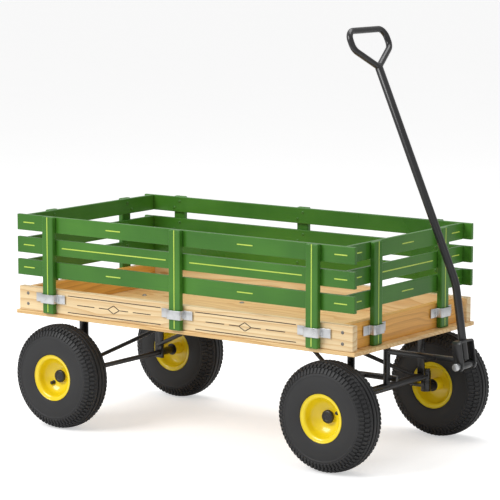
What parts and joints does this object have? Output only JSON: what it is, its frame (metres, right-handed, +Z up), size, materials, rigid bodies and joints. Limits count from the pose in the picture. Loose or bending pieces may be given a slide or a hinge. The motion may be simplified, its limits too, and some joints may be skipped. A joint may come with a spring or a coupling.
{
  "type": "pull wagon",
  "caption": "Wooden pull wagon with lift-out slatted racks, pneumatic wheels, linked knuckle steering and a hinged pull handle with a closed hand loop.",
  "frame": {"origin": "on the ground under the middle of the whole outline, seen from above", "axes": "+X ahead towards the pull handle, +Y to the wagon's left, +Z up"},
  "size_m": [1.163, 0.558, 1.0067],
  "materials": {
    "pine": "clear varnished pine boards",
    "green_wood": "semi-gloss green paint over wood",
    "black_steel": "semi-gloss black paint",
    "zinc": "bright zinc plate",
    "yellow_steel": "gloss yellow paint",
    "tyre": "black rubber, smooth side walls and lugged tread",
    "black_plastic": "matt black moulding"
  },
  "bodies": {
    "chassis": {"floor_planks": "pine", "side_board_left": "pine", "side_board_right": "pine", "front_board": "pine", "rear_board": "pine", "board_screws": "zinc", "stake_clips": "zinc", "clip_screws": "zinc", "rear_frame": "black_steel", "rear_axle": "black_steel", "rear_brace_left": "black_steel", "rear_brace_right": "black_steel", "axle_beam": "black_steel", "front_frame": "black_steel", "post_pin": "black_steel", "front_brace_left": "black_steel", "front_brace_right": "black_steel", "frame_bolts": "zinc"},
    "steering": {"steering_post": "black_steel", "tongue": "black_steel", "pivot_bolt": "zinc", "pivot_nut": "zinc"},
    "drag_link": {"drag_link": "black_steel"},
    "tie_rod": {"tie_rod": "black_steel"},
    "knuckle_left": {"knuckle_left": "black_steel", "kingpin_nut_left": "black_steel"},
    "knuckle_right": {"knuckle_right": "black_steel", "kingpin_nut_right": "black_steel", "steering_lever": "black_steel"},
    "handle": {"handle_fork": "black_steel", "handle_shaft": "black_steel", "handle_grip": "black_steel"},
    "left_rack": {"left_rack_slats": "green_wood", "left_rack_stakes": "green_wood", "left_rack_screws": "zinc"},
    "right_rack": {"right_rack_slats": "green_wood", "right_rack_stakes": "green_wood", "right_rack_screws": "zinc"},
    "front_rack": {"front_rack_slats": "green_wood", "front_rack_stakes": "green_wood", "front_rack_screws": "zinc"},
    "rear_rack": {"rear_rack_slats": "green_wood", "rear_rack_stakes": "green_wood", "rear_rack_screws": "zinc"},
    "front_left_wheel": {"front_left_tyre": "tyre", "front_left_rim": "yellow_steel", "front_left_bushings": "black_plastic", "front_left_cap_and_valve": "black_plastic"},
    "front_right_wheel": {"front_right_tyre": "tyre", "front_right_rim": "yellow_steel", "front_right_bushings": "black_plastic", "front_right_cap_and_valve": "black_plastic"},
    "rear_left_wheel": {"rear_left_tyre": "tyre", "rear_left_rim": "yellow_steel", "rear_left_bushings": "black_plastic", "rear_left_cap_and_valve": "black_plastic"},
    "rear_right_wheel": {"rear_right_tyre": "tyre", "rear_right_rim": "yellow_steel", "rear_right_bushings": "black_plastic", "rear_right_cap_and_valve": "black_plastic"}
  },
  "joints": [
    {"name": "tongue_steer", "type": "hinge", "parent": "chassis", "child": "steering", "pos_m": [0.3535, 0, 0.2], "axis": [0, 0, 1], "range_deg": [-25, 25]},
    {"name": "knuckle_left_turn", "type": "hinge", "parent": "chassis", "child": "knuckle_left", "pos_m": [0.3535, 0.175, 0.159], "axis": [0, 0, 1], "range_deg": [-25, 25]},
    {"name": "knuckle_right_turn", "type": "hinge", "parent": "chassis", "child": "knuckle_right", "pos_m": [0.3535, -0.175, 0.159], "axis": [0, 0, 1], "range_deg": [-25, 25]},
    {"name": "drag_link_turn", "type": "hinge", "parent": "steering", "child": "drag_link", "pos_m": [0.2735, 0, 0.17], "axis": [0, 0, 1], "range_deg": [-25, 25]},
    {"name": "tie_rod_turn", "type": "hinge", "parent": "knuckle_right", "child": "tie_rod", "pos_m": [0.3185, -0.175, 0.143], "axis": [0, 0, 1], "range_deg": [-25, 25]},
    {"name": "handle_fold", "type": "hinge", "parent": "steering", "child": "handle", "pos_m": [0.5695, 0, 0.237], "axis": [0, 1, 0], "range_deg": [0, 120]},
    {"name": "left_rack_lift", "type": "slide", "parent": "chassis", "child": "left_rack", "axis": [0, 0, 1], "range_m": [0, 0.12]},
    {"name": "right_rack_lift", "type": "slide", "parent": "chassis", "child": "right_rack", "axis": [0, 0, 1], "range_m": [0, 0.12]},
    {"name": "front_rack_lift", "type": "slide", "parent": "chassis", "child": "front_rack", "axis": [0, 0, 1], "range_m": [0, 0.12]},
    {"name": "rear_rack_lift", "type": "slide", "parent": "chassis", "child": "rear_rack", "axis": [0, 0, 1], "range_m": [0, 0.12]},
    {"name": "front_left_wheel_roll", "type": "hinge", "parent": "knuckle_left", "child": "front_left_wheel", "pos_m": [0.3535, 0.239, 0.13], "axis": [0, 1, 0], "continuous": true},
    {"name": "front_right_wheel_roll", "type": "hinge", "parent": "knuckle_right", "child": "front_right_wheel", "pos_m": [0.3535, -0.239, 0.13], "axis": [0, 1, 0], "continuous": true},
    {"name": "rear_left_wheel_roll", "type": "hinge", "parent": "chassis", "child": "rear_left_wheel", "pos_m": [-0.4515, 0.239, 0.13], "axis": [0, 1, 0], "continuous": true},
    {"name": "rear_right_wheel_roll", "type": "hinge", "parent": "chassis", "child": "rear_right_wheel", "pos_m": [-0.4515, -0.239, 0.13], "axis": [0, 1, 0], "continuous": true}
  ],
  "couplings": [
    {"joint": "knuckle_left_turn", "follows": "tongue_steer", "ratio": 1},
    {"joint": "knuckle_right_turn", "follows": "tongue_steer", "ratio": 1},
    {"joint": "drag_link_turn", "follows": "tongue_steer", "ratio": -1},
    {"joint": "tie_rod_turn", "follows": "tongue_steer", "ratio": -1}
  ]
}
